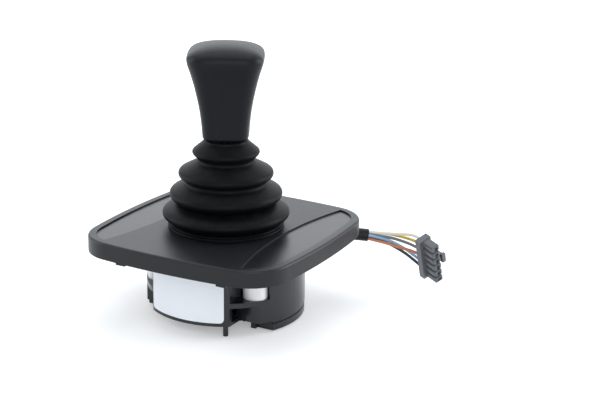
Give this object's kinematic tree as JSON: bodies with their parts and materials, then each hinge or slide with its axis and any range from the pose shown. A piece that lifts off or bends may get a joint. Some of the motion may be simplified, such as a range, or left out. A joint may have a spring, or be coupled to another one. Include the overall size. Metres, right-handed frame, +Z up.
{
  "type": "industrial joystick",
  "caption": "Two-axis panel joystick: tall domed knob on a folded gaiter, square bezel with bowed sides, round base below and a short harness with a single-row plug.",
  "frame": {"origin": "centre of the panel face, the plane under the bezel's rim, on the lever's axis at rest", "axes": "+Z up along the lever at rest, away from the panel; -Y towards the operator; +X to the operator's right"},
  "size_m": [0.1423, 0.1203, 0.1315],
  "materials": {
    "bezel": "fine matt texture",
    "brass": "bright",
    "plate_steel": "zinc plated",
    "white_nylon": "smooth",
    "screw_steel": "zinc plated",
    "base": "fine matt texture",
    "base_cover": "fine matt texture",
    "label": "satin film",
    "gimbal_plastic": "smooth",
    "gate_nylon": "smooth",
    "bush": "smooth",
    "gimbal_metal": "turned",
    "pin_steel": "ground",
    "shaft_steel": "ground",
    "spring_steel": "drawn wire",
    "magnet": "nickel plated",
    "board": "solder mask",
    "chip": "moulded",
    "header": "moulded",
    "gaiter": "matt",
    "knob": "fine matt",
    "grommet": "matt",
    "jacket": "satin",
    "wire_cream": "satin",
    "wire_yellow": "satin",
    "wire_grey": "satin",
    "wire_orange": "satin",
    "wire_blue": "satin",
    "wire_black": "satin",
    "connector": "moulded",
    "terminal": "tin plated"
  },
  "bodies": {
    "base": {"bezel": "bezel", "panel_inserts": "brass", "base_inserts": "brass", "mounting_plate": "plate_steel", "spacers": "white_nylon", "base_screws": "screw_steel", "base_housing": "base", "lower_cover": "base_cover", "cover_screws": "screw_steel", "label": "label", "gimbal_frame": "gimbal_plastic", "frame_screws": "screw_steel", "tilt_gate": "gate_nylon", "outer_bushes": "bush", "centring_spring": "spring_steel", "sensor_board": "board", "hall_sensors": "chip", "wire_header": "header", "board_screws": "screw_steel", "gaiter": "gaiter", "gaiter_clamp_ring": "gimbal_plastic", "cable_grommet": "grommet", "cable_jacket": "jacket", "inner_leads": "jacket", "wire_cream": "wire_cream", "wire_yellow": "wire_yellow", "wire_grey": "wire_grey", "wire_orange": "wire_orange", "wire_blue": "wire_blue", "wire_black": "wire_black", "connector_housing": "connector", "connector_terminals": "terminal"},
    "gimbal": {"gimbal_ring": "gimbal_metal", "outer_pivot_pins": "pin_steel", "inner_bushes": "bush"},
    "lever": {"lever_shaft": "shaft_steel", "lever_hub": "gimbal_metal", "inner_pivot_pin": "pin_steel", "spring_collar": "gimbal_plastic", "retaining_clip": "spring_steel", "magnet_holder": "gimbal_plastic", "magnet": "magnet", "knob": "knob", "knob_insert": "brass", "lock_nut": "screw_steel"}
  },
  "joints": [
    {"name": "tilt_fore_aft", "type": "hinge", "parent": "base", "child": "gimbal", "pos_m": [0, 0, -0.009], "axis": [1, 0, 0], "range_deg": [-18, 18], "stiffness_Nm_per_rad": 2.5, "deforming": ["gaiter", "centring_spring"]},
    {"name": "tilt_sideways", "type": "hinge", "parent": "gimbal", "child": "lever", "pos_m": [0, 0, -0.009], "axis": [0, 1, 0], "range_deg": [-18, 18], "stiffness_Nm_per_rad": 2.5, "deforming": ["gaiter", "centring_spring"]}
  ]
}
